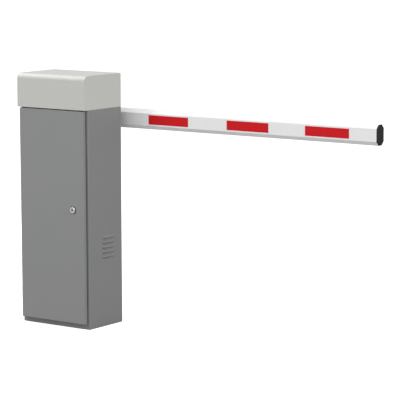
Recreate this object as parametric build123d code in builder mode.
from build123d import *
import math
import os

# Parking barrier gate: a sheet steel cabinet with a hinged front door and a lift-off hood, a gear motor that
# swings an octagonal aluminium boom through a parallelogram linkage, and two balance springs.
# Millimetres. The origin is the centre of the cabinet's footprint on the ground, without the door.
# +X runs along the lowered boom, +Y goes to the back, where the boom is, and +Z is up.

# Cabinet
cabinet_width = 350.0
cabinet_depth = 215.0
body_height = 892.0
sheet = 2.0
corner_radius = 4.0
front_flange = 22.0
top_flange = 16.0
base_thickness = 6.0
sill_height = 48.0
rail_height = 42.0
sill_flange = 24.0
rail_flange = 10.0
seal_inset = 2.0

# Hood
hood_height = 138.0
hood_wall = 2.5
hood_roll = 22.0
hood_front_lead = 1.0
hood_rear_lead = 1.5
hood_lip = 12.0
hood_seat_gap = 0.3
hood_tab_drop = 34.0
hood_tab_gap = 2.0
hood_tab_y = 50.0
hood_tab_width = 30.0

# Door
door_inset = 10.0
door_proud = 20.5
door_bottom = 23.0
door_top_gap = 4.0
door_back_gap = 3.5
door_lip = 15.0
door_edge_radius = 2.5
gasket_width = 9.0
running_gap = 0.3
stiffener_end_gap = 60.0
stiffener_half_width = 24.0
stiffener_channel = 12.0
stiffener_depth = 12.0
stiffener_wall = 1.5

# Door hinges
hinge_radius = 4.5
hinge_pin_radius = 2.5
hinge_half_length = 28.0
hinge_above_door_bottom = 97.0
hinge_below_door_top = 98.0
hinge_out = 6.5
hinge_leaf = 6.0
hinge_side_gap = 0.5
pin_clearance = 0.05

# Lock
lock_from_edge = 56.0
lock_height = 488.0
lock_bezel_radius = 13.5
lock_bezel_depth = 4.0
lock_bezel_edge = 1.5
lock_barrel_radius = 9.5
lock_plug_radius = 6.0
lock_cam_reach = 50.0
lock_cam_thickness = 3.0
lock_cam_end_radius = 8.0
lock_cam_gap = 1.5
lock_nut_radius = 14.0
lock_nut_height = 5.0
key_slot_width = 2.4
key_slot_height = 8.0
key_slot_depth = 6.0

# Louvres
louvre_count = 5
louvre_pitch = 19.7
louvre_length = 75.0
louvre_width = 14.0
louvre_rise = 5.5
louvre_wall = 1.2
louvre_height = 327.0
louvre_from_front = 123.5
louvre_taper = 40.0

# Ground fixing
anchor_spacing_x = 270.0
anchor_spacing_y = 140.0
anchor_hole_radius = 7.0
cable_entry_x = 150.0
cable_entry_y = 80.0
cable_entry_corner = 10.0

# Spindle and its bearings
spindle_radius = 17.5
spindle_hole_gap = 1.5
bearing_ring_wall = 7.0
bearing_race = 10.0
bearing_boss_wall = 7.5
bearing_flange_lip = 6.0
bearing_flange_thickness = 12.0
bearing_depth = 30.0
bearing_bolt_inset = 11.0
bearing_bolt_radius = 5.0
bearing_head_radius = 9.0
bearing_head_height = 6.5
bearing_flange_corner = 14.0
bearing_top_gap = 3.0
bearing_ring_inset = 2.0
ball_count = 10
bolt_play = 0.2
key_width = 10.0
key_height = 4.0
key_length = 24.0

# Linkage: lever and crank are equal, and the rod is as long as the shafts are apart
arm_radius = 70.0
arm_thickness = 12.0
arm_end_wall = 8.0
arm_hub_wall = 10.5
arm_boss_wall = 7.5
crank_hub_wall = 9.5
crank_boss_wall = 6.5
arm_standoff = 66.0
hub_gap = 4.0
spindle_overhang = 4.0
crank_hub_gap = 10.0
shaft_distance = 241.0
link_pin_radius = 6.0
link_open_clearance = 0.35
rod_radius = 6.0
rod_eye_wall = 8.0
rod_eye_width = 14.0
rod_nut_radius = 10.0
rod_nut_height = 8.0
rod_nut_offset = 50.0
side_play = 1.0
pin_overhang = 2.0
lever_angle = 135.0

# Balance springs
spring_outer_radius = 12.0
spring_wire = 3.5
spring_spread = 20.0
spring_top_drop = 26.0
spring_below_crank = 60.0
plug_inset = 1.0
plug_height = 5.0
adjuster_height = 6.0
adjuster_tail = 38.0
adjuster_nut_radius = 7.5
adjuster_nut_height = 7.0
eye_wall = 5.0
eye_width = 10.0
tension_rod_radius = 4.0
anchor_below_crank = 95.0
anchor_half_width = 22.0
anchor_overhang = 14.0

# Stops
stop_post_radius = 6.0
stop_sleeve_radius = 11.0
stop_along_arm = 60.0
stop_post_overhang = 4.0
stop_sleeve_overhang = 2.0

# Mechanism plates
plate_thickness = 8.0
plate_from_rear = 105.5
plate_side_gap = 8.0
plate_below_crank = 120.0
plate_above_spindle = 14.0
crown_above_spindle = 74.0
crown_side = 12.0
plate_bolt_inset_x = 13.0
plate_bolt_inset_z = 25.0
plate_bolt_radius = 4.0
plate_bolt_head = 7.5
plate_bolt_head_height = 5.5
rail_foot = 20.0
rail_top_gap = 12.0
rail_leg = 40.0
rail_thickness = 4.0
rear_plate_half_width = 90.0
rear_plate_below = 60.0
rear_plate_above = 46.0
tie_radius = 7.0
tie_x = 76.0
tie_z = 38.0

# Limit switching
cam_from_plate = 22.0
cam_pitch = 14.0
cam_thickness = 7.0
cam_reach = 22.5
cam_hub_wall = 9.0
cam_flag_width = 16.0
sensor_radius = 6.0
sensor_gap = 3.0
sensor_length = 46.0
bracket_offset = 23.0
bracket_wall = 3.0
bracket_foot = 14.0
bracket_half_height = 16.0

# Gear motor
gearbox_left = 50.0
gearbox_right = 92.0
gearbox_half_height = 55.0
gearbox_wall = 8.0
gearbox_depth = 87.0
gearbox_corner = 12.0
gearbox_bolt_inset = 9.0
gearbox_cover_thickness = 5.0
wheel_radius = 35.0
wheel_half_width = 9.0
wheel_tooth_depth = 3.0
wheel_tooth_width = 3.4
tooth_count = 30
worm_radius = 8.5
worm_half_length = 24.0
worm_gap = 1.5
worm_from_plate = 48.0
output_radius = 12.5
output_hole_gap = 8.0
output_end_gap = 6.0
motor_radius = 45.0
motor_length = 160.0
motor_wall = 5.0
motor_shaft_radius = 7.0
motor_bell = 10.0
motor_flange = 8.0
motor_end_wall = 6.0
fin_count = 28
fin_depth = 3.0
fin_thickness = 2.0
stator_inset = 30.0
stator_depth = 15.0
rotor_inset = 34.0
air_gap = 1.0
terminal_reach = 34.0
terminal_half_width = 22.0
terminal_rise = 60.0
terminal_height = 62.0
terminal_bite = 1.5
handwheel_radius = 38.0
handwheel_height = 14.0
handwheel_rim = 9.0
handwheel_hub = 12.0
handwheel_drop = 14.0
handwheel_neck = 6.0
spoke_width = 8.0
spoke_height = 6.0

# Electrics
panel_bottom = 40.0
panel_top = 290.0
panel_side_gap = 23.0
panel_thickness = 3.0
panel_setback = 25.0
box_margin = 10.0
box_right_margin = 80.0
box_above_panel_bottom = 94.0
box_top_margin = 5.0
box_depth = 65.0
box_wall = 3.0
box_corner = 5.0
lid_thickness = 5.0
lid_edge = 1.5
board_inset = 10.0
board_standoff = 8.0
board_thickness = 1.6
board_margin = 4.0
connector_count = 4
connector_height = 12.0
connector_depth = 12.0
relay_count = 4
relay_pitch = 26.0
relay_width = 16.0
relay_height = 26.0
relay_depth = 16.0
transformer_width = 44.0
transformer_depth = 34.0
transformer_rise = 30.0
capacitor_radius = 19.0
capacitor_from_side = 38.0
capacitor_above_panel_bottom = 120.0
capacitor_height = 72.0
cap_boss_radius = 8.0
cap_boss_height = 6.0
clip_wall = 3.0
clip_rise = 30.0
clip_height = 14.0
clip_half_width = 26.0
rail_above_panel_bottom = 44.0
rail_depth = 7.5
rail_half_height = 17.5
rail_channel = 12.0
rail_end_gap = 15.0
rail_wall = 1.0
breaker_margin = 26.0
breaker_width = 36.0
breaker_depth = 44.0
breaker_half_height = 38.0
breaker_nose = 14.0
breaker_nose_half_height = 22.0
breaker_window = 13.0
breaker_wall = 6.0
breaker_handle_inset = 3.0
toggle_lift = 0.5
toggle_radius = 6.5
toggle_reach = 17.0
toggle_half_height = 2.5
terminal_count = 10
terminal_pitch = 8.2
terminal_width = 7.8
terminal_depth = 38.0
terminal_half_height = 26.0
terminal_gap = 12.0
gland_from_box_side = 30.0
gland_from_panel = 36.0
gland_nut_radius = 11.0
gland_nut_height = 7.0
gland_cap_radius = 8.0
gland_cap_height = 8.0
entry_nut_radius = 10.0
entry_nut_height = 6.0
entry_cap_radius = 7.5
entry_cap_height = 7.0
cable_radius = 4.0
spacer_radius = 6.0
spacer_inset_x = 7.0
spacer_inset_z = 15.0

# Boom
boom_from_rear = 62.5
boom_height = 80.0
boom_width = 50.0
boom_corner = 15.0
boom_wall = 2.0
boom_tip = 1362.0
boom_tail = 95.0
cap_thickness = 3.0
cap_plug_depth = 18.0
cap_clearance = 0.2
sticker_length = 198.0
sticker_height = 38.0
sticker_thickness = 0.4
sticker_starts = (288.0, 674.0, 1041.0)
saddle_length = 140.0
saddle_thickness = 10.0
saddle_lip = 12.0
saddle_boss_wall = 17.5
saddle_boss_gap = 4.5
saddle_corner = 8.0
clamp_thickness = 8.0
clamp_bolt_radius = 5.0
clamp_bolt_inset = 20.0
clamp_bolt_edge = 6.0
clamp_bolt_gap = 3.0
clamp_head_radius = 9.0
clamp_head_height = 6.4
clamp_nut_height = 8.0
clamp_bolt_end = 2.0

# Worked out from the values above
half_width = cabinet_width / 2
front = -cabinet_depth / 2
rear = cabinet_depth / 2
inner_rear = rear - sheet
inner_side = half_width - sheet
door_face = front - door_proud
door_back = front - door_back_gap
door_half_width = half_width - door_inset
door_top = body_height - door_top_gap
hood_front = door_face - hood_front_lead
hood_rear = rear + hood_rear_lead
hood_bottom = body_height + hood_seat_gap
hood_top = body_height + hood_height
bearing_ring_radius = spindle_radius + bearing_ring_wall
bearing_bore_radius = bearing_ring_radius + bearing_race
bearing_boss_radius = bearing_bore_radius + bearing_boss_wall
bearing_flange = 2 * (bearing_boss_radius + bearing_flange_lip)
spindle_height = body_height - bearing_top_gap - bearing_flange / 2
hinge_heights = (
    door_bottom + hinge_above_door_bottom,
    (door_bottom + hinge_above_door_bottom + door_top - hinge_below_door_top) / 2,
    door_top - hinge_below_door_top,
)
plate_front = inner_rear - plate_from_rear
plate_back = plate_front + plate_thickness
rear_plate_front = inner_rear - plate_thickness
crank_height = spindle_height - shaft_distance
plate_half_width = inner_side - plate_side_gap
plate_bottom = crank_height - plate_below_crank
plate_top = spindle_height + plate_above_spindle
plate_crown_half_width = tie_x + crown_side
plate_crown_top = spindle_height + crown_above_spindle
bolt_offset = bearing_flange / 2 - bearing_bolt_inset
spindle_hole_radius = bearing_ring_radius + spindle_hole_gap
arm_hub_radius = spindle_radius + arm_hub_wall
arm_boss_radius = spindle_radius + arm_boss_wall
crank_hub_radius = output_radius + crank_hub_wall
crank_boss_radius = output_radius + crank_boss_wall
arm_end_radius = link_pin_radius + arm_end_wall
rod_eye_radius = link_pin_radius + rod_eye_wall
eye_radius = link_pin_radius + eye_wall
plug_radius = spring_outer_radius - plug_inset
arm_plane = plate_front - arm_standoff
lever_reach = arm_radius * math.cos(math.radians(lever_angle - 90.0))
arm_front = arm_plane - arm_thickness / 2
arm_back = arm_plane + arm_thickness / 2
rod_plane = arm_front - side_play - rod_eye_width / 2
rod_front = rod_plane - rod_eye_width / 2
rod_back = rod_plane + rod_eye_width / 2
spring_bottom = crank_height - spring_below_crank
anchor_height = crank_height - anchor_below_crank
hinge_x = -door_half_width - hinge_radius - hinge_side_gap
hinge_y = front - hinge_out
lock_x = door_half_width - lock_from_edge
panel_back = plate_back - panel_setback
panel_front = panel_back - panel_thickness
panel_half_width = inner_side - panel_side_gap
box_left = -panel_half_width + box_margin
box_right = panel_half_width - box_right_margin
box_bottom = panel_bottom + box_above_panel_bottom
box_top = panel_top - box_top_margin
box_front = panel_front - box_depth
boom_plane = rear + boom_from_rear
saddle_boss_radius = spindle_radius + saddle_boss_wall
clamp_bolt_x = saddle_length / 2 - clamp_bolt_inset
saddle_front = boom_plane - boom_width / 2 - saddle_thickness
saddle_back = boom_plane - boom_width / 2
boom_outer = boom_plane + boom_width / 2
saddle_half_height = boom_height / 2 + saddle_lip + clamp_bolt_radius + clamp_bolt_edge
clamp_bolt_z = boom_height / 2 + clamp_bolt_radius + clamp_bolt_gap
clamp_bolt_places = [
    (x, spindle_height + z) for x in (-clamp_bolt_x, clamp_bolt_x) for z in (-clamp_bolt_z, clamp_bolt_z)
]
gearbox_rear = plate_back + gearbox_depth
worm_offset = wheel_radius + worm_radius + worm_gap
worm_plane = plate_back + worm_from_plate
motor_top = crank_height - gearbox_half_height
motor_bottom = motor_top - motor_length


def facing(y):
    """Plane across the cabinet at depth y: sketches read X and Z, and a positive extrude comes forward."""
    return Plane.XZ.offset(-y)


def along(x):
    """Plane along the cabinet at x: sketches read Y and Z, and a positive extrude goes to +X."""
    return Plane.YZ.offset(x)


def level(z):
    """Horizontal plane at height z: a positive extrude goes up."""
    return Plane.XY.offset(z)


def block(low, high, mode=Mode.ADD):
    """Box between two opposite corners, in the part that is being built."""
    size = [b - a for a, b in zip(low, high)]
    with Locations(tuple((a + b) / 2 for a, b in zip(low, high))):
        Box(*size, mode=mode)


def bar(start, end, radius, mode=Mode.ADD):
    """Round bar between two points, in the part that is being built."""
    run = Vector(*end) - Vector(*start)
    with Locations(Plane(origin=start, z_dir=run).location):
        Cylinder(radius, run.length, align=(Align.CENTER, Align.CENTER, Align.MIN), mode=mode)


def tube(start, end, radius, bore):
    """Round bar with a bore along it."""
    bar(start, end, radius)
    bar(start, end, bore, mode=Mode.SUBTRACT)


def hexagon(start, end, radius):
    """Hexagonal bolt head or nut between two points."""
    run = Vector(*end) - Vector(*start)
    with BuildPart(mode=Mode.PRIVATE) as head:
        with BuildSketch():
            RegularPolygon(radius, 6)
        extrude(amount=run.length)
    add(Plane(origin=start, z_dir=run).location * head.part)


# ---------------------------------------------------------------- cabinet

with BuildPart() as base_plate:
    block((-inner_side, front + sheet, 0), (inner_side, inner_rear, base_thickness))
    fillet(edges().filter_by(Axis.Z), corner_radius)
    with BuildSketch(level(0)):
        with GridLocations(anchor_spacing_x, anchor_spacing_y, 2, 2):
            Circle(anchor_hole_radius)
        RectangleRounded(cable_entry_x, cable_entry_y, cable_entry_corner)
    extrude(amount=base_thickness, mode=Mode.SUBTRACT)


def side_panel():
    """Right side panel: one folded sheet with a front flange, a top flange and pressed louvres."""
    top_run = cabinet_depth / 2 - top_flange
    rise_inner = louvre_rise - louvre_wall
    with BuildPart() as panel:
        with BuildSketch(level(0)):
            with BuildLine():
                FilletPolyline(
                    (half_width, rear), (half_width, front), (half_width - front_flange, front),
                    radius=corner_radius,
                )
                offset(amount=sheet, side=Side.RIGHT)
            make_face()
        extrude(amount=body_height)
        block(
            (half_width - top_flange, -top_run, body_height - sheet),
            (half_width - sheet / 2, top_run, body_height),
        )
        for index in range(louvre_count):
            height = louvre_height + (index - (louvre_count - 1) / 2) * louvre_pitch
            place = (front + louvre_from_front, height)
            with BuildSketch(along(half_width)):
                with Locations(place):
                    SlotOverall(louvre_length, louvre_width)
            extrude(amount=louvre_rise, taper=louvre_taper)
            with BuildSketch(along(half_width)):
                with Locations(place):
                    SlotOverall(louvre_length - 2 * louvre_wall, louvre_width - 2 * louvre_wall)
            extrude(amount=rise_inner, taper=louvre_taper, mode=Mode.SUBTRACT)
            with BuildSketch(along(half_width)):
                with Locations(place):
                    SlotOverall(louvre_length - 2 * louvre_wall, louvre_width - 2 * louvre_wall)
            extrude(amount=-sheet, mode=Mode.SUBTRACT)
            mouth = front + louvre_from_front
            block(
                (half_width, mouth - louvre_length / 2, height - louvre_width / 2 - 1),
                (half_width + louvre_rise + 1, mouth + louvre_length / 2, height - louvre_width / 4),
                mode=Mode.SUBTRACT,
            )
    return panel


right_side_panel = side_panel()

with BuildPart() as left_side_panel:
    mirror(right_side_panel.part, about=Plane.YZ)

with BuildPart() as rear_panel:
    block((-inner_side, inner_rear, 0), (inner_side, rear, body_height))
    block(
        (-inner_side + top_flange, inner_rear - top_flange, body_height - sheet),
        (inner_side - top_flange, inner_rear, body_height),
    )
    with BuildSketch(facing(rear)):
        with Locations((0, spindle_height)):
            Circle(spindle_hole_radius)
    extrude(amount=sheet, mode=Mode.SUBTRACT)

frame_half = half_width - front_flange
with BuildPart() as front_frame:
    block((-frame_half, front, 0), (frame_half, front + sheet, sill_height))
    sill_back = front + sheet + sill_flange
    rail_back = front + sheet + rail_flange
    block((-frame_half, front + sheet, base_thickness), (frame_half, sill_back, base_thickness + sheet))
    block((-frame_half, front, body_height - rail_height), (frame_half, front + sheet, body_height))
    block((-frame_half, front + sheet, body_height - sheet), (frame_half, rail_back, body_height))

seal_x = door_half_width - seal_inset
seal_top = door_top - seal_inset
seal_bottom = door_bottom + seal_inset
with BuildPart() as door_gasket:
    block((-seal_x, door_back + running_gap, seal_bottom), (seal_x, front, seal_top))
    block(
        (-seal_x + gasket_width, door_back, seal_bottom + gasket_width),
        (seal_x - gasket_width, front, seal_top - gasket_width),
        mode=Mode.SUBTRACT,
    )

# ---------------------------------------------------------------- mechanism plates

bolt_x = plate_half_width - plate_bolt_inset_x
plate_bolt_z = (
    plate_bottom + plate_bolt_inset_z, (plate_bottom + plate_top) / 2, plate_top - plate_bolt_inset_z,
)
plate_bolts = [(x, z) for x in (-bolt_x, bolt_x) for z in plate_bolt_z]
bolt_hole_radius = plate_bolt_radius + bolt_play
gearbox_bolts = [
    (x, crank_height + z)
    for x in (-gearbox_left + gearbox_bolt_inset, gearbox_right - gearbox_bolt_inset)
    for z in (-gearbox_half_height + gearbox_bolt_inset, gearbox_half_height - gearbox_bolt_inset)
]
down = math.radians(lever_angle - 180.0)
taper = math.asin((arm_hub_radius - arm_end_radius) / arm_radius)
stop_reach = arm_hub_radius + stop_sleeve_radius + running_gap - stop_along_arm * math.sin(taper)
stop_gap = stop_reach / math.cos(taper)
stop_x = stop_along_arm * math.cos(down) + stop_gap * math.sin(down)
stop_z = stop_along_arm * math.sin(down) - stop_gap * math.cos(down)
stops = [(stop_x, spindle_height + stop_z), (stop_x, spindle_height - stop_z)]

with BuildPart() as mounting_rails:
    for sign in (-1, 1):
        outer = sign * inner_side
        leg = outer - sign * rail_leg
        skin = outer - sign * rail_thickness
        for edge, depth in ((skin, rail_leg), (leg, rail_thickness)):
            block(
                (min(outer, edge), plate_back, rail_foot),
                (max(outer, edge), plate_back + depth, body_height - rail_top_gap),
            )
    with BuildSketch(facing(plate_back)):
        with Locations(*plate_bolts):
            Circle(bolt_hole_radius)
    extrude(amount=-rail_thickness, mode=Mode.SUBTRACT)

with BuildPart() as mechanism_plate:
    block((-plate_half_width, plate_front, plate_bottom), (plate_half_width, plate_back, plate_top))
    block(
        (-plate_crown_half_width, plate_front, plate_top),
        (plate_crown_half_width, plate_back, plate_crown_top),
    )
    with BuildSketch(facing(plate_front)):
        with Locations((0, spindle_height)):
            Circle(spindle_hole_radius)
        with Locations((0, crank_height)):
            Circle(output_radius + output_hole_gap)
        with Locations(*plate_bolts, *gearbox_bolts):
            Circle(bolt_hole_radius)
        with Locations((0, spindle_height)):
            with GridLocations(2 * bolt_offset, 2 * bolt_offset, 2, 2):
                Circle(bearing_bolt_radius + bolt_play)
    extrude(amount=-plate_thickness, mode=Mode.SUBTRACT)

with BuildPart() as rear_bearing_plate:
    block(
        (-rear_plate_half_width, rear_plate_front, spindle_height - rear_plate_below),
        (rear_plate_half_width, inner_rear, spindle_height + rear_plate_above),
    )
    with BuildSketch(facing(rear_plate_front)):
        with Locations((0, spindle_height)):
            Circle(spindle_hole_radius)
    extrude(amount=-plate_thickness, mode=Mode.SUBTRACT)

spacer_x = panel_half_width - spacer_inset_x
with BuildPart() as steel_posts:
    for x in (-tie_x, tie_x):
        for z in (-tie_z, tie_z):
            bar((x, plate_back, spindle_height + z), (x, rear_plate_front, spindle_height + z), tie_radius)
    for x in (-spacer_x, spacer_x):
        for z in (panel_bottom + spacer_inset_z, panel_top - spacer_inset_z):
            bar((x, panel_back, z), (x, plate_back, z), spacer_radius)
    for x, z in stops:
        bar((x, plate_front, z), (x, arm_front - stop_post_overhang, z), stop_post_radius)

with BuildPart() as frame_bolts:
    for x, z in plate_bolts:
        bar((x, plate_front, z), (x, plate_back + rail_thickness + pin_overhang, z), plate_bolt_radius)
    for x, z in gearbox_bolts:
        bar((x, plate_front, z), (x, plate_back, z), plate_bolt_radius)
    for x, z in plate_bolts + gearbox_bolts:
        hexagon((x, plate_front, z), (x, plate_front - plate_bolt_head_height, z), plate_bolt_head)
    for x in (-bolt_offset, bolt_offset):
        for z in (spindle_height - bolt_offset, spindle_height + bolt_offset):
            start = plate_front - bearing_flange_thickness
            bar((x, start, z), (x, plate_back, z), bearing_bolt_radius)
            hexagon((x, start, z), (x, start - bearing_head_height, z), bearing_head_radius)
            end = rear_plate_front - bearing_flange_thickness
            hexagon((x, end, z), (x, end - bearing_head_height, z), bearing_head_radius)

# ---------------------------------------------------------------- spindle and bearings


def bearing_housing(seat, sign):
    """Square flanged housing on a plate's face at depth seat; sign is +1 where it stands out to +Y."""
    with BuildPart() as housing:
        far_flange = seat + sign * bearing_flange_thickness
        far_boss = seat + sign * bearing_depth
        half = bearing_flange / 2
        with BuildSketch(facing(max(seat, far_flange))):
            with Locations((0, spindle_height)):
                RectangleRounded(bearing_flange, bearing_flange, bearing_flange_corner)
        extrude(amount=bearing_flange_thickness)
        bar((0, far_flange, spindle_height), (0, far_boss, spindle_height), bearing_boss_radius)
        bar((0, seat, spindle_height), (0, far_boss, spindle_height), bearing_bore_radius, Mode.SUBTRACT)
        holes = [(x, z) for x in (-bolt_offset, bolt_offset) for z in (-bolt_offset, bolt_offset)]
        for x, z in holes:
            near = (x, seat, spindle_height + z)
            far = (x, far_flange, spindle_height + z)
            bar(near, far, bearing_bolt_radius + bolt_play, Mode.SUBTRACT)
    return housing


ball_radius = (bearing_bore_radius - bearing_ring_radius) / 2 - running_gap
ball_circle = (bearing_bore_radius + bearing_ring_radius) / 2
front_bearing_mid = plate_front - bearing_depth / 2
rear_bearing_mid = rear_plate_front - bearing_depth / 2

with BuildPart() as bearing_housings:
    add(bearing_housing(plate_front, -1).part)
    add(bearing_housing(rear_plate_front, -1).part)

with BuildPart() as bearing_balls:
    for mid in (front_bearing_mid, rear_bearing_mid):
        for index in range(ball_count):
            turn = 2 * math.pi * index / ball_count
            x = ball_circle * math.cos(turn)
            z = spindle_height + ball_circle * math.sin(turn)
            with Locations((x, mid, z)):
                Sphere(ball_radius)

spindle_front = arm_front - spindle_overhang
spindle_back = saddle_back - side_play
lever_key = (arm_plane - 2.0, arm_plane - 2.0 + key_length)
saddle_key = (saddle_front - 18.0, saddle_front - 18.0 + key_length)
key_runs = (lever_key, saddle_key)
key_top = spindle_height + spindle_radius + key_height / 2

with BuildPart() as spindle:
    bar((0, spindle_front, spindle_height), (0, spindle_back, spindle_height), spindle_radius)
    for start, end in key_runs:
        block((-key_width / 2, start, key_top - key_height), (key_width / 2, end, key_top), Mode.SUBTRACT)

with BuildPart() as spindle_rings_and_keys:
    for mid in (front_bearing_mid, rear_bearing_mid):
        reach = bearing_depth / 2 - bearing_ring_inset
        tube(
            (0, mid - reach, spindle_height), (0, mid + reach, spindle_height),
            bearing_ring_radius, spindle_radius,
        )
    for start, end in key_runs:
        block((-key_width / 2, start, key_top - key_height), (key_width / 2, end, key_top))

# ---------------------------------------------------------------- lever, crank and link rod

spring_pin = (-lever_reach, spindle_height + lever_reach)
link_pin = (lever_reach, spindle_height - lever_reach)
crank_pin = (lever_reach, crank_height - lever_reach)
hub_back = plate_front - bearing_depth - hub_gap

with BuildPart() as lever:
    with BuildSketch(facing(arm_back)):
        with Locations((0, spindle_height)):
            Circle(arm_hub_radius)
        with Locations(spring_pin, link_pin):
            Circle(arm_end_radius)
        make_hull()
    extrude(amount=arm_thickness)
    bar((0, arm_back, spindle_height), (0, hub_back, spindle_height), arm_boss_radius)
    bar((0, arm_front, spindle_height), (0, hub_back, spindle_height), spindle_radius, Mode.SUBTRACT)
    start, end = lever_key
    block((-key_width / 2, start, key_top - key_height), (key_width / 2, end, key_top), Mode.SUBTRACT)
    # the link pin stands out to the front, and the spring pin to both sides
    pin_x, pin_z = link_pin
    bar((pin_x, arm_front, pin_z), (pin_x, rod_front - pin_overhang, pin_z), link_pin_radius)
    pin_reach = spring_spread + eye_width / 2 + side_play
    for sign in (-1, 1):
        face = arm_plane + sign * arm_thickness / 2
        end = arm_plane + sign * pin_reach
        bar((spring_pin[0], face, spring_pin[1]), (spring_pin[0], end, spring_pin[1]), link_pin_radius)

with BuildPart() as output_shaft:
    end = gearbox_rear - output_end_gap
    bar((0, arm_front - pin_overhang, crank_height), (0, end, crank_height), output_radius)

crank_hub_back = plate_front - crank_hub_gap
with BuildPart() as crank_arm:
    with BuildSketch(facing(arm_back)):
        with Locations((0, crank_height)):
            Circle(crank_hub_radius)
        with Locations(crank_pin):
            Circle(arm_end_radius)
        make_hull()
    extrude(amount=arm_thickness)
    bar((0, arm_back, crank_height), (0, crank_hub_back, crank_height), crank_boss_radius)
    bar((0, arm_front, crank_height), (0, crank_hub_back, crank_height), output_radius, Mode.SUBTRACT)
    pin_x, pin_z = crank_pin
    bar((pin_x, arm_front, pin_z), (pin_x, rod_front - pin_overhang, pin_z), link_pin_radius)

with BuildPart() as link_rod:
    for x, z in (crank_pin, link_pin):
        bar((x, rod_front, z), (x, rod_back, z), rod_eye_radius)
    bar(
        (lever_reach, rod_plane, crank_pin[1] + rod_eye_radius / 2),
        (lever_reach, rod_plane, link_pin[1] - rod_eye_radius / 2), rod_radius,
    )
    for offset_z in (rod_nut_offset, shaft_distance - rod_nut_offset - rod_nut_height):
        z = crank_pin[1] + offset_z
        hexagon((lever_reach, rod_plane, z), (lever_reach, rod_plane, z + rod_nut_height), rod_nut_radius)
    for (x, z), clearance in ((crank_pin, pin_clearance), (link_pin, link_open_clearance)):
        bar((x, rod_front, z), (x, rod_back, z), link_pin_radius + clearance, Mode.SUBTRACT)

# ---------------------------------------------------------------- balance springs and their ends

spring_planes = (arm_plane - spring_spread, arm_plane + spring_spread)
spring_x, spring_pin_z = spring_pin
spring_top = spring_pin_z - spring_top_drop

with BuildPart() as spring_upper_plugs:
    for y in spring_planes:
        near = y - eye_width / 2
        far = y + eye_width / 2
        bar((spring_x, near, spring_pin_z), (spring_x, far, spring_pin_z), eye_radius)
        bar((spring_x, y, spring_pin_z - eye_radius / 2), (spring_x, y, spring_top), tension_rod_radius)
        bar((spring_x, y, spring_top + plug_height), (spring_x, y, spring_top + running_gap), plug_radius)
    for y in spring_planes:
        near = y - eye_width / 2
        far = y + eye_width / 2
        bore = link_pin_radius + pin_clearance
        bar((spring_x, near, spring_pin_z), (spring_x, far, spring_pin_z), bore, Mode.SUBTRACT)

with BuildPart() as balance_springs:
    for y in spring_planes:
        tube(
            (spring_x, y, spring_bottom), (spring_x, y, spring_top),
            spring_outer_radius, spring_outer_radius - spring_wire,
        )

with BuildPart() as spring_adjusters:
    for y in spring_planes:
        plug_low = spring_bottom - adjuster_height
        bar((spring_x, y, spring_bottom), (spring_x, y, plug_low), plug_radius)
        bar((spring_x, y, plug_low), (spring_x, y, anchor_height - adjuster_tail), tension_rod_radius)
        for z in (anchor_height + plate_thickness, anchor_height - adjuster_nut_height):
            hexagon((spring_x, y, z), (spring_x, y, z + adjuster_nut_height), adjuster_nut_radius)

with BuildPart() as spring_anchor:
    block(
        (spring_x - anchor_half_width, spring_planes[0] - anchor_overhang, anchor_height),
        (spring_x + anchor_half_width, plate_front, anchor_height + plate_thickness),
    )
    block(
        (spring_x - anchor_half_width, plate_front - plate_thickness, plate_bottom),
        (spring_x + anchor_half_width, plate_front, anchor_height),
    )
    for y in spring_planes:
        bar(
            (spring_x, y, anchor_height), (spring_x, y, anchor_height + plate_thickness),
            tension_rod_radius, Mode.SUBTRACT,
        )

with BuildPart() as stop_sleeves:
    for x, z in stops:
        near = arm_front - stop_sleeve_overhang
        tube((x, arm_back + stop_post_overhang, z), (x, near, z), stop_sleeve_radius, stop_post_radius)

# ---------------------------------------------------------------- limit switching

cam_starts = (plate_back + cam_from_plate, plate_back + cam_from_plate + cam_pitch)
cam_runs = [(start, start + cam_thickness) for start in cam_starts]
cam_radius = spindle_radius + cam_reach
sensor_x = cam_radius + sensor_gap
bracket_x = sensor_x + bracket_offset
bracket_reach = cam_runs[1][1] + cam_hub_wall

with BuildPart() as limit_cams:
    for (start, end), turn in zip(cam_runs, (0.0, -90.0)):
        with BuildSketch(facing(end)):
            with Locations((0, spindle_height)):
                Circle(spindle_radius + cam_hub_wall)
            with Locations((0, spindle_height)):
                with Locations(Rotation(0, 0, turn)):
                    Rectangle(cam_radius, cam_flag_width, align=(Align.MIN, Align.CENTER))
            with Locations((0, spindle_height)):
                Circle(spindle_radius, mode=Mode.SUBTRACT)
        extrude(amount=end - start)

with BuildPart() as limit_sensors:
    for start, end in cam_runs:
        y = (start + end) / 2
        bar((sensor_x, y, spindle_height), (sensor_x + sensor_length, y, spindle_height), sensor_radius)

with BuildPart() as sensor_bracket:
    low = spindle_height - bracket_half_height
    high = spindle_height + bracket_half_height
    block((bracket_x, plate_back, low), (bracket_x + bracket_wall, bracket_reach, high))
    block((bracket_x - bracket_foot, plate_back, low), (bracket_x, plate_back + bracket_wall, high))
    for start, end in cam_runs:
        y = (start + end) / 2
        far = (bracket_x + bracket_wall, y, spindle_height)
        bar((bracket_x, y, spindle_height), far, sensor_radius, Mode.SUBTRACT)

# ---------------------------------------------------------------- gear motor

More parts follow.
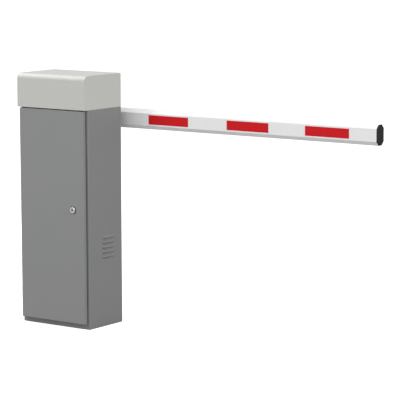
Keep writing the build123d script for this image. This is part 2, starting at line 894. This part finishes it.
cavity_front = plate_back + gearbox_wall
with BuildPart() as gearbox_housing:
    block(
        (-gearbox_left, plate_back, crank_height - gearbox_half_height),
        (gearbox_right, gearbox_rear, crank_height + gearbox_half_height),
    )
    fillet(edges().filter_by(Axis.Y), gearbox_corner)
    block(
        (-gearbox_left + gearbox_wall, cavity_front, crank_height - gearbox_half_height + gearbox_wall),
        (gearbox_right - gearbox_wall, gearbox_rear, crank_height + gearbox_half_height - gearbox_wall),
        Mode.SUBTRACT,
    )
    bore = output_radius + pin_clearance
    bar((0, plate_back, crank_height), (0, cavity_front, crank_height), bore, Mode.SUBTRACT)
    bar(
        (worm_offset, worm_plane, motor_top), (worm_offset, worm_plane, motor_top + gearbox_wall),
        motor_shaft_radius + pin_clearance, Mode.SUBTRACT,
    )

with BuildPart() as gearbox_cover:
    with BuildSketch(facing(gearbox_rear + gearbox_cover_thickness)):
        with Locations(((gearbox_right - gearbox_left) / 2, crank_height)):
            RectangleRounded(gearbox_left + gearbox_right, 2 * gearbox_half_height, gearbox_corner)
    extrude(amount=gearbox_cover_thickness)

tooth_root = wheel_radius - wheel_tooth_depth
with BuildPart() as worm_wheel:
    with BuildSketch(facing(worm_plane + wheel_half_width)):
        with Locations((0, crank_height)):
            Circle(tooth_root)
            with PolarLocations(tooth_root, tooth_count):
                Rectangle(2 * wheel_tooth_depth, wheel_tooth_width)
            Circle(output_radius, mode=Mode.SUBTRACT)
    extrude(amount=2 * wheel_half_width)

motor_axis = (worm_offset, worm_plane)
wheel_top = motor_bottom - handwheel_drop
with BuildPart() as worm_shaft:
    x, y = motor_axis
    shaft_top = crank_height + gearbox_half_height - gearbox_wall - side_play
    rotor_radius = motor_radius - motor_wall - stator_depth - air_gap
    bar((x, y, wheel_top), (x, y, shaft_top), motor_shaft_radius)
    bar((x, y, crank_height - worm_half_length), (x, y, crank_height + worm_half_length), worm_radius)
    bar((x, y, motor_bottom + rotor_inset), (x, y, motor_top - rotor_inset), rotor_radius)

with BuildPart() as motor_stator:
    x, y = motor_axis
    tube(
        (x, y, motor_bottom + stator_inset), (x, y, motor_top - stator_inset),
        motor_radius - motor_wall, motor_radius - motor_wall - stator_depth,
    )

with BuildPart() as motor_housing:
    x, y = motor_axis
    with BuildSketch(level(motor_bottom + motor_bell)):
        with Locations((x, y)):
            Circle(motor_radius - fin_depth)
            with PolarLocations(motor_radius - fin_depth, fin_count):
                Rectangle(2 * fin_depth, fin_thickness)
    extrude(amount=motor_length - motor_bell)
    bar((x, y, motor_bottom), (x, y, motor_bottom + motor_bell), motor_radius)
    bar((x, y, motor_top - motor_flange), (x, y, motor_top), motor_radius)
    low = motor_bottom + motor_end_wall
    bar((x, y, low), (x, y, motor_top - motor_end_wall), motor_radius - motor_wall, Mode.SUBTRACT)
    bar((x, y, motor_bottom), (x, y, motor_top), motor_shaft_radius + pin_clearance, Mode.SUBTRACT)

terminal_x = worm_offset - motor_radius
terminal_low = (terminal_x - terminal_reach, worm_plane - terminal_half_width, motor_bottom + terminal_rise)
terminal_high = (
    terminal_x + terminal_bite, worm_plane + terminal_half_width, terminal_low[2] + terminal_height,
)
with BuildPart() as motor_terminal_box:
    block(terminal_low, terminal_high)
    fillet(edges().filter_by(Axis.Z), 4)
    x, y = motor_axis
    bar((x, y, terminal_low[2]), (x, y, terminal_high[2]), motor_radius + pin_clearance, Mode.SUBTRACT)

with BuildPart() as handwheel:
    x, y = motor_axis
    z = wheel_top
    tube((x, y, z - handwheel_height), (x, y, z), handwheel_radius, handwheel_radius - handwheel_rim)
    bar((x, y, z - handwheel_height), (x, y, z), handwheel_hub)
    for turn in (0.0, 60.0, 120.0):
        with Locations(Location((x, y, z - handwheel_height / 2), (0, 0, turn))):
            Box(2 * handwheel_radius - handwheel_rim + side_play, spoke_width, spoke_height)
    bar((x, y, z), (x, y, z + handwheel_neck), handwheel_hub - side_play)
    bar((x, y, z), (x, y, z + handwheel_neck), motor_shaft_radius, Mode.SUBTRACT)

# ---------------------------------------------------------------- electrics

with BuildPart() as equipment_plate:
    block((-panel_half_width, panel_front, panel_bottom), (panel_half_width, panel_back, panel_top))

with BuildPart() as control_box:
    block((box_left, box_front, box_bottom), (box_right, panel_front, box_top))
    fillet(edges().filter_by(Axis.Y), box_corner)
    block(
        (box_left + box_wall, box_front, box_bottom + box_wall),
        (box_right - box_wall, panel_front - box_wall, box_top - box_wall), Mode.SUBTRACT,
    )

with BuildPart() as control_box_lid:
    with BuildSketch(facing(box_front)):
        with Locations(((box_left + box_right) / 2, (box_bottom + box_top) / 2)):
            RectangleRounded(box_right - box_left, box_top - box_bottom, box_corner)
    extrude(amount=lid_thickness)
    fillet(faces().sort_by(Axis.Y)[0].edges(), lid_edge)

board_plane = panel_front - box_wall - board_standoff
board_face = board_plane - board_thickness
board_left = box_left + board_inset
board_right = box_right - board_inset
board_bottom = box_bottom + board_inset
board_top = box_top - board_inset
connector_pitch = (board_right - board_left - 2 * board_margin) / connector_count
connector_low = board_bottom + board_margin
relay_high = board_top - board_margin
with BuildPart() as control_board:
    block((board_left, board_face, board_bottom), (board_right, board_plane, board_top))
    for index in range(connector_count):
        x = board_left + board_margin + index * connector_pitch
        block(
            (x, board_face - connector_depth, connector_low),
            (x + connector_pitch - board_margin, board_face, connector_low + connector_height),
        )
    for index in range(relay_count):
        x = board_left + board_margin + index * relay_pitch
        block(
            (x, board_face - relay_depth, relay_high - relay_height),
            (x + relay_width, board_face, relay_high),
        )
    transformer_right = board_right - board_margin
    transformer_left = transformer_right - transformer_width
    transformer_low = board_bottom + transformer_rise
    block(
        (transformer_left, board_face - transformer_depth, transformer_low),
        (transformer_right, board_face, relay_high - relay_height),
    )

capacitor_x = panel_half_width - capacitor_from_side
capacitor_low = panel_bottom + capacitor_above_panel_bottom
capacitor_high = capacitor_low + capacitor_height
clip_low = capacitor_low + clip_rise
with BuildPart() as capacitor:
    y = panel_front - capacitor_radius - clip_wall + side_play
    bar((capacitor_x, y, capacitor_low), (capacitor_x, y, capacitor_high), capacitor_radius)
    boss_top = capacitor_high + cap_boss_height
    bar((capacitor_x, y, capacitor_high), (capacitor_x, y, boss_top), cap_boss_radius)
    block(
        (capacitor_x - clip_half_width, panel_front - clip_wall, clip_low),
        (capacitor_x + clip_half_width, panel_front, clip_low + clip_height),
    )

rail_front = panel_front - rail_depth
rail_centre = panel_bottom + rail_above_panel_bottom
rail_end = panel_half_width - rail_end_gap
rail_skin = rail_front + rail_wall
web = rail_channel - rail_wall
with BuildPart() as din_rail:
    block((-rail_end, rail_front, rail_centre - rail_half_height), (rail_end, rail_skin, rail_centre - web))
    block((-rail_end, rail_front, rail_centre + web), (rail_end, rail_skin, rail_centre + rail_half_height))
    block((-rail_end, rail_front, rail_centre - rail_channel), (rail_end, panel_front, rail_centre - web))
    block((-rail_end, rail_front, rail_centre + web), (rail_end, panel_front, rail_centre + rail_channel))
    block(
        (-rail_end, panel_front - rail_wall, rail_centre - rail_channel),
        (rail_end, panel_front, rail_centre + rail_channel),
    )

breaker_left = -panel_half_width + breaker_margin
breaker_right = breaker_left + breaker_width
breaker_face = rail_front - breaker_depth
window_back = breaker_face - breaker_nose - side_play
with BuildPart() as circuit_breaker:
    for low_y, high_y, half in (
        (breaker_face, rail_front, breaker_half_height),
        (breaker_face - breaker_nose, breaker_face, breaker_nose_half_height),
    ):
        block((breaker_left, low_y, rail_centre - half), (breaker_right, high_y, rail_centre + half))
    block(
        (breaker_left + breaker_wall, window_back, rail_centre - breaker_window),
        (breaker_right - breaker_wall, breaker_face, rail_centre + breaker_window), Mode.SUBTRACT,
    )

with BuildPart() as breaker_toggle:
    y = breaker_face - breaker_nose / 2 - toggle_lift
    gap = breaker_wall + running_gap
    bar((breaker_left + gap, y, rail_centre), (breaker_right - gap, y, rail_centre), toggle_radius)
    gap = breaker_wall + breaker_handle_inset
    block(
        (breaker_left + gap, y - toggle_reach, rail_centre - toggle_half_height),
        (breaker_right - gap, y, rail_centre + toggle_half_height),
    )

with BuildPart() as rail_terminals:
    for index in range(terminal_count):
        x = breaker_right + terminal_gap + index * terminal_pitch
        block(
            (x, rail_front - terminal_depth, rail_centre - terminal_half_height),
            (x + terminal_width, rail_front, rail_centre + terminal_half_height),
        )

gland_x = box_right - gland_from_box_side
gland_y = panel_front - gland_from_panel
gland_top = box_top + gland_nut_height + gland_cap_height
entry_x = (terminal_low[0] + terminal_x) / 2
entry_low = terminal_low[2] - entry_nut_height - entry_cap_height
with BuildPart() as cable_glands:
    z = box_top + gland_nut_height
    hexagon((gland_x, gland_y, box_top), (gland_x, gland_y, z), gland_nut_radius)
    bar((gland_x, gland_y, z), (gland_x, gland_y, gland_top), gland_cap_radius)
    z = terminal_low[2] - entry_nut_height
    hexagon((entry_x, worm_plane, terminal_low[2]), (entry_x, worm_plane, z), entry_nut_radius)
    bar((entry_x, worm_plane, z), (entry_x, worm_plane, entry_low), entry_cap_radius)

cable_start = (gland_x, gland_y, gland_top)
cable_end = (entry_x, worm_plane, entry_low)
cable_points = [
    cable_start, (gland_x, gland_y, gland_top + 47.0), (0, -12.0, motor_bottom - 11.0),
    (entry_x, worm_plane, motor_bottom - 5.0), cable_end,
]


def bend_radii(points):
    """Radius of the arc at each corner, as large as the two runs beside it allow."""
    radii = []
    for before, here, after in zip(points, points[1:], points[2:]):
        arriving = Vector(*here) - Vector(*before)
        leaving = Vector(*after) - Vector(*here)
        half_turn = math.radians(arriving.get_angle(leaving)) / 2
        radii.append(0.45 * min(arriving.length, leaving.length) / math.tan(half_turn))
    return radii


print("motor cable bend radii", [round(r, 1) for r in bend_radii(cable_points)])
with BuildPart() as motor_cable:
    with BuildLine() as cable_path:
        FilletPolyline(*cable_points, radius=bend_radii(cable_points))
    with BuildSketch(Plane(origin=cable_start, z_dir=cable_path.line % 0)):
        Circle(cable_radius)
    sweep()

# ---------------------------------------------------------------- boom


def octagon_points(height, width, corner):
    """Corners of the boom's section in depth and height, about the spindle's height."""
    half_h = height / 2
    half_w = width / 2
    quarter = [(half_w, half_h - corner), (half_w - corner, half_h)]
    left = [(-y, z) for y, z in reversed(quarter)]
    upper = quarter + left
    lower = [(y, -z) for y, z in reversed(upper)]
    return [(boom_plane + y, spindle_height + z) for y, z in upper + lower]


inner_height = boom_height - 2 * boom_wall
inner_width = boom_width - 2 * boom_wall
inner_corner = boom_corner - 2 * boom_wall * (1 - math.tan(math.radians(22.5)))
tube_end = boom_tip - cap_thickness
tube_start = -boom_tail + cap_thickness

with BuildPart() as boom_tube:
    with BuildSketch(along(tube_start)):
        with BuildLine():
            Polyline(*octagon_points(boom_height, boom_width, boom_corner), close=True)
        make_face()
        with BuildLine():
            Polyline(*octagon_points(inner_height, inner_width, inner_corner), close=True)
        make_face(mode=Mode.SUBTRACT)
    extrude(amount=tube_end - tube_start)

plug_height = inner_height - 2 * cap_clearance
plug_width = inner_width - 2 * cap_clearance
with BuildPart() as boom_caps:
    for edge, sign in ((tube_end, 1), (tube_start, -1)):
        with BuildSketch(along(edge)):
            with BuildLine():
                Polyline(*octagon_points(boom_height, boom_width, boom_corner), close=True)
            make_face()
        extrude(amount=sign * cap_thickness)
        with BuildSketch(along(edge)):
            with BuildLine():
                Polyline(*octagon_points(plug_height, plug_width, inner_corner), close=True)
            make_face()
        extrude(amount=-sign * cap_plug_depth)

with BuildPart() as red_stickers:
    half_sticker = sticker_height / 2
    sticker_faces = (saddle_back - sticker_thickness, boom_outer + sticker_thickness)
    for start in sticker_starts:
        for near, far in ((sticker_faces[0], saddle_back), (boom_outer, sticker_faces[1])):
            block(
                (start, near, spindle_height - half_sticker),
                (start + sticker_length, far, spindle_height + half_sticker),
            )

with BuildPart() as boom_saddle:
    block(
        (-saddle_length / 2, saddle_front, spindle_height - saddle_half_height),
        (saddle_length / 2, saddle_back, spindle_height + saddle_half_height),
    )
    fillet(edges().filter_by(Axis.Y), saddle_corner)
    boss_front = rear + saddle_boss_gap
    bar((0, boss_front, spindle_height), (0, saddle_front, spindle_height), saddle_boss_radius)
    bar((0, boss_front, spindle_height), (0, spindle_back, spindle_height), spindle_radius, Mode.SUBTRACT)
    start, end = saddle_key
    block((-key_width / 2, start, key_top - key_height), (key_width / 2, end, key_top), Mode.SUBTRACT)
    for x, z in clamp_bolt_places:
        bar((x, saddle_front, z), (x, saddle_back, z), clamp_bolt_radius, Mode.SUBTRACT)

with BuildPart() as clamp_plate:
    block(
        (-saddle_length / 2, boom_outer, spindle_height - saddle_half_height),
        (saddle_length / 2, boom_outer + clamp_thickness, spindle_height + saddle_half_height),
    )
    fillet(edges().filter_by(Axis.Y), saddle_corner)
    for x, z in clamp_bolt_places:
        bar((x, boom_outer, z), (x, boom_outer + clamp_thickness, z), clamp_bolt_radius, Mode.SUBTRACT)

with BuildPart() as clamp_bolts:
    outer_face = boom_outer + clamp_thickness
    bolt_end = outer_face + clamp_nut_height + clamp_bolt_end
    for x, z in clamp_bolt_places:
        bar((x, saddle_front, z), (x, bolt_end, z), clamp_bolt_radius)
        hexagon((x, saddle_front, z), (x, saddle_front - clamp_head_height, z), clamp_head_radius)
        hexagon((x, outer_face, z), (x, outer_face + clamp_nut_height, z), clamp_head_radius)

# ---------------------------------------------------------------- door

with BuildPart() as door_panel:
    block((-door_half_width, door_face, door_bottom), (door_half_width, door_back, door_top))
    fillet(faces().sort_by(Axis.Y)[0].edges(), door_edge_radius)
    block(
        (-door_half_width + sheet, door_face + sheet, door_bottom + sheet),
        (door_half_width - sheet, door_back - sheet, door_top - sheet), Mode.SUBTRACT,
    )
    block(
        (-door_half_width + door_lip, door_back - sheet, door_bottom + door_lip),
        (door_half_width - door_lip, door_back, door_top - door_lip), Mode.SUBTRACT,
    )
    bar((lock_x, door_face, lock_height), (lock_x, door_face + sheet, lock_height), lock_barrel_radius,
        Mode.SUBTRACT)

with BuildPart() as door_stiffener:
    low = door_bottom + stiffener_end_gap
    high = door_top - stiffener_end_gap
    skin = door_face + sheet
    inner = stiffener_channel - stiffener_wall
    block((-stiffener_half_width, skin, low), (stiffener_half_width, skin + stiffener_wall, high))
    block((-stiffener_channel, skin, low), (stiffener_channel, skin + stiffener_depth, high))
    block((-inner, skin, low), (inner, skin + stiffener_depth - stiffener_wall, high), Mode.SUBTRACT)

with BuildPart() as hinge_body_barrels:
    for z in hinge_heights:
        bar((hinge_x, hinge_y, z - hinge_half_length), (hinge_x, hinge_y, z), hinge_radius)
        leaf = hinge_leaf / 2
        block((hinge_x - leaf, hinge_y, z - hinge_half_length), (hinge_x + leaf, front, z))
        bar((hinge_x, hinge_y, z), (hinge_x, hinge_y, z + hinge_half_length), hinge_pin_radius)

with BuildPart() as hinge_door_barrels:
    for z in hinge_heights:
        low = z + running_gap
        high = z + running_gap + hinge_half_length
        bar((hinge_x, hinge_y, low), (hinge_x, hinge_y, high), hinge_radius)
        leaf = hinge_leaf / 2
        block((hinge_x, hinge_y - leaf, low), (-door_half_width, hinge_y + leaf, high))
        bore = hinge_pin_radius + pin_clearance
        bar((hinge_x, hinge_y, low), (hinge_x, hinge_y, high), bore, Mode.SUBTRACT)

cam_front = front + sheet + lock_cam_gap
bezel_front = door_face - lock_bezel_depth
barrel_end = cam_front - running_gap
with BuildPart() as lock_body:
    bar((lock_x, door_face, lock_height), (lock_x, bezel_front, lock_height), lock_bezel_radius)
    fillet(faces().sort_by(Axis.Y)[0].edges(), lock_bezel_edge)
    bar((lock_x, door_face, lock_height), (lock_x, barrel_end, lock_height), lock_barrel_radius)
    nut_front = door_face + sheet
    nut_back = nut_front + lock_nut_height
    hexagon((lock_x, nut_front, lock_height), (lock_x, nut_back, lock_height), lock_nut_radius)
    bore = lock_plug_radius + pin_clearance
    bar((lock_x, bezel_front, lock_height), (lock_x, barrel_end, lock_height), bore, Mode.SUBTRACT)

with BuildPart() as lock_plug:
    bar((lock_x, bezel_front, lock_height), (lock_x, cam_front, lock_height), lock_plug_radius)
    block(
        (lock_x - key_slot_width / 2, bezel_front, lock_height - key_slot_height / 2),
        (lock_x + key_slot_width / 2, bezel_front + key_slot_depth, lock_height + key_slot_height / 2),
        Mode.SUBTRACT,
    )

with BuildPart() as lock_cam:
    with BuildSketch(facing(cam_front + lock_cam_thickness)):
        with Locations((lock_x, lock_height), (lock_x, lock_height - lock_cam_reach)):
            Circle(lock_cam_end_radius)
        make_hull()
    extrude(amount=lock_cam_thickness)

# ---------------------------------------------------------------- hood


def hood_outline(inset):
    """Hood section in depth and height, drawn inside the outer skin by inset, open at its bottom edge."""
    roll = hood_roll - inset
    low = hood_bottom
    near = hood_front + inset
    far = hood_rear - inset
    top = hood_top - inset
    corner = (near + roll, top - roll)
    Polyline((near, top - roll), (near, low), (far, low), (far, top), (near + roll, top))
    CenterArc(corner, roll, 90, 90)


with BuildPart() as hood_shell:
    with BuildSketch(along(-half_width)):
        with BuildLine():
            hood_outline(0)
        make_face()
    extrude(amount=cabinet_width)
    with BuildSketch(along(-half_width + hood_wall)):
        with BuildLine():
            hood_outline(hood_wall)
        make_face()
    extrude(amount=cabinet_width - 2 * hood_wall, mode=Mode.SUBTRACT)
    block(
        (-half_width, hood_front, hood_bottom), (half_width, hood_rear, hood_bottom + hood_wall),
    )
    block(
        (-half_width + hood_lip, hood_front + hood_lip, hood_bottom),
        (half_width - hood_lip, hood_rear - hood_lip, hood_bottom + hood_wall), Mode.SUBTRACT,
    )
    tab_x = half_width - top_flange - hood_tab_gap
    for sign in (-1, 1):
        for y in (-hood_tab_y, hood_tab_y):
            inner = sign * (tab_x - hood_wall)
            outer = sign * (half_width - hood_wall / 2)
            tab = sign * tab_x
            low = hood_bottom - hood_tab_drop
            high = hood_bottom + hood_wall
            near = y - hood_tab_width / 2
            far = y + hood_tab_width / 2
            block((min(inner, tab), near, low), (max(inner, tab), far, high))
            block((min(inner, outer), near, hood_bottom), (max(inner, outer), far, high))

# ---------------------------------------------------------------- files

pieces = {
    "base_plate": base_plate,
    "left_side_panel": left_side_panel,
    "right_side_panel": right_side_panel,
    "rear_panel": rear_panel,
    "front_frame": front_frame,
    "door_gasket": door_gasket,
    "mounting_rails": mounting_rails,
    "mechanism_plate": mechanism_plate,
    "rear_bearing_plate": rear_bearing_plate,
    "steel_posts": steel_posts,
    "frame_bolts": frame_bolts,
    "bearing_housings": bearing_housings,
    "bearing_balls": bearing_balls,
    "spindle": spindle,
    "spindle_rings_and_keys": spindle_rings_and_keys,
    "lever": lever,
    "output_shaft": output_shaft,
    "crank_arm": crank_arm,
    "link_rod": link_rod,
    "spring_upper_plugs": spring_upper_plugs,
    "balance_springs": balance_springs,
    "spring_adjusters": spring_adjusters,
    "spring_anchor": spring_anchor,
    "stop_sleeves": stop_sleeves,
    "limit_cams": limit_cams,
    "limit_sensors": limit_sensors,
    "sensor_bracket": sensor_bracket,
    "gearbox_housing": gearbox_housing,
    "gearbox_cover": gearbox_cover,
    "worm_wheel": worm_wheel,
    "worm_shaft": worm_shaft,
    "motor_stator": motor_stator,
    "motor_housing": motor_housing,
    "motor_terminal_box": motor_terminal_box,
    "handwheel": handwheel,
    "equipment_plate": equipment_plate,
    "control_box": control_box,
    "control_box_lid": control_box_lid,
    "control_board": control_board,
    "capacitor": capacitor,
    "din_rail": din_rail,
    "circuit_breaker": circuit_breaker,
    "breaker_toggle": breaker_toggle,
    "rail_terminals": rail_terminals,
    "cable_glands": cable_glands,
    "motor_cable": motor_cable,
    "boom_tube": boom_tube,
    "boom_caps": boom_caps,
    "red_stickers": red_stickers,
    "boom_saddle": boom_saddle,
    "clamp_plate": clamp_plate,
    "clamp_bolts": clamp_bolts,
    "door_panel": door_panel,
    "door_stiffener": door_stiffener,
    "hinge_body_barrels": hinge_body_barrels,
    "hinge_door_barrels": hinge_door_barrels,
    "lock_body": lock_body,
    "lock_plug": lock_plug,
    "lock_cam": lock_cam,
    "hood_shell": hood_shell,
}

os.makedirs("parts", exist_ok=True)
for name, piece in pieces.items():
    piece.part.label = name
    export_step(piece.part, f"parts/{name}.step")
